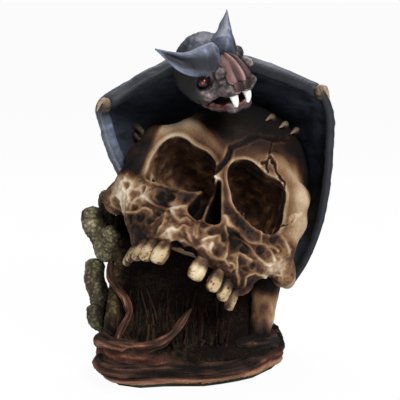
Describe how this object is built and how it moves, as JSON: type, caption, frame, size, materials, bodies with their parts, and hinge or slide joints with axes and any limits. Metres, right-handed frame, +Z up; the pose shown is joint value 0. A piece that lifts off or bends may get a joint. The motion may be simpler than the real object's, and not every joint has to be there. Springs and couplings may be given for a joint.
{
  "type": "halloween skull decoration",
  "caption": "Free-standing skull without a lower jaw on a root and moss base, with a bat lying over it and its wings wrapped round the skull as a hood.",
  "frame": {"origin": "middle of the underside of the felt, on the surface the piece stands on", "axes": "+Z up, the skull faces -Y, +X is the figure's own left"},
  "size_m": [0.1437, 0.1453, 0.2016],
  "materials": {
    "bone": "satin antique wash",
    "tooth": "satin",
    "bat": "satin",
    "wing": "satin",
    "face": "satin",
    "leaf": "satin",
    "eye": "gloss",
    "fang": "satin",
    "claw": "satin",
    "root": "matt",
    "earth": "matt",
    "moss": "matt",
    "felt": "felt"
  },
  "bodies": {
    "root": {"arm_left": "bat", "arm_right": "bat", "base_mound": "earth", "bat_body": "bat", "bat_ear_left": "bat", "bat_ear_right": "bat", "bat_eye_left": "eye", "bat_eye_right": "eye", "bat_fang_left": "fang", "bat_fang_right": "fang", "bat_head": "face", "bat_lower_jaw": "face", "bat_nose_leaf": "leaf", "bat_tail": "bat", "branch_nub": "moss", "branch_side": "moss", "branch_stump": "moss", "branch_upper": "moss", "felt_pad": "felt", "jaw_stub": "bone", "root_front": "root", "root_left": "root", "root_right": "root", "skull": "bone", "thumb_claw_left": "claw", "thumb_claw_right": "claw", "toe_claw_left_1": "claw", "toe_claw_left_2": "claw", "toe_claw_left_3": "claw", "toe_claw_right_1": "claw", "toe_claw_right_2": "claw", "toe_claw_right_3": "claw", "tooth_left_1": "tooth", "tooth_left_2": "tooth", "tooth_left_3": "tooth", "tooth_left_4": "tooth", "tooth_right_1": "tooth", "tooth_right_2": "tooth", "tooth_right_3": "tooth", "tooth_right_4": "tooth", "tooth_right_5": "tooth", "trunk": "moss", "vine": "root", "wing_left": "wing", "wing_right": "wing"}
  },
  "joints": []
}
